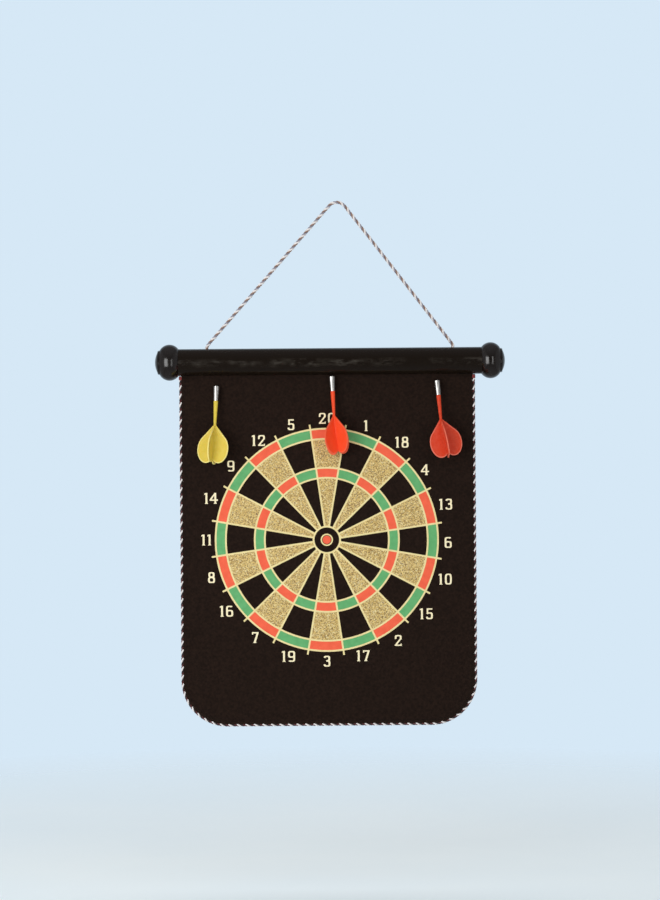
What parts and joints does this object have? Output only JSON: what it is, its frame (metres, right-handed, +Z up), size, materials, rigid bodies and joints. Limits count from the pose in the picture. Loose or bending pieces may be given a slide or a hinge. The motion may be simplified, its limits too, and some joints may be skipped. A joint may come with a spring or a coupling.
{
  "type": "magnetic dartboard",
  "caption": "Roll-up magnetic dartboard: cloth-faced magnetic sheet with a printed target and twisted piping, hung from a slotted tube with pull-off caps on a cord, with magnet-tipped darts.",
  "frame": {"origin": "the point where a hook or nail carries the bend of the hanging cord, under the cord", "axes": "+Z up, +X along the tube to the right as the target is seen, -Y from the face of the board towards the player"},
  "size_m": [0.3778, 0.0557, 0.567],
  "materials": {
    "tube_black": "satin black with faint lengthwise scuffs",
    "cap_black": "glossy black",
    "twisted_cord": "twisted white, brown and plum-grey strands",
    "hem_wood": "raw dowel",
    "front_flock": "black flocked cloth",
    "magnet_rubber": "dark magnetic rubber",
    "back_flock": "black flocked cloth",
    "twisted_piping": "twisted white, maroon and black strands",
    "gold_glitter": "gold glitter ink",
    "red_ink": "red ink",
    "green_ink": "green ink",
    "line_ink": "pale gold ink",
    "dart_magnet": "dark nickel",
    "dart_chrome": "polished",
    "dart_yellow": "slightly translucent yellow",
    "dart_red": "slightly translucent red"
  },
  "bodies": {
    "hanger": {"tube": "tube_black", "hanging_cord": "twisted_cord", "cord_knots": "twisted_cord"},
    "board": {"hem_rod": "hem_wood", "front_cloth": "front_flock", "magnet_sheet": "magnet_rubber", "back_cloth": "back_flock", "edge_piping": "twisted_piping", "gold_print": "gold_glitter", "red_print": "red_ink", "green_print": "green_ink", "line_print": "line_ink"},
    "left_cap": {"left_end_ring": "cap_black", "left_end_plug": "cap_black"},
    "right_cap": {"right_end_ring": "cap_black", "right_end_plug": "cap_black"},
    "left_dart": {"left_dart_magnet": "dart_magnet", "left_dart_barrel": "dart_chrome", "left_dart_body": "dart_yellow"},
    "middle_dart": {"middle_dart_magnet": "dart_magnet", "middle_dart_barrel": "dart_chrome", "middle_dart_body": "dart_red"},
    "right_dart": {"right_dart_magnet": "dart_magnet", "right_dart_barrel": "dart_chrome", "right_dart_body": "dart_red"}
  },
  "joints": [
    {"name": "board_swing", "type": "hinge", "parent": "hanger", "child": "board", "pos_m": [-0.0119, 0, -0.18016], "axis": [-1, 0, 0], "range_deg": [-10, 10]},
    {"name": "left_cap_pull", "type": "slide", "parent": "hanger", "child": "left_cap", "axis": [-1, 0, 0], "range_m": [0, 0.06]},
    {"name": "right_cap_pull", "type": "slide", "parent": "hanger", "child": "right_cap", "axis": [1, 0, 0], "range_m": [0, 0.06]},
    {"name": "left_dart_pull", "type": "slide", "parent": "board", "child": "left_dart", "axis": [0, -1, 0], "range_m": [0, 0.15]},
    {"name": "middle_dart_pull", "type": "slide", "parent": "board", "child": "middle_dart", "axis": [0, -1, 0], "range_m": [0, 0.15]},
    {"name": "right_dart_pull", "type": "slide", "parent": "board", "child": "right_dart", "axis": [0, -1, 0], "range_m": [0, 0.15]}
  ]
}
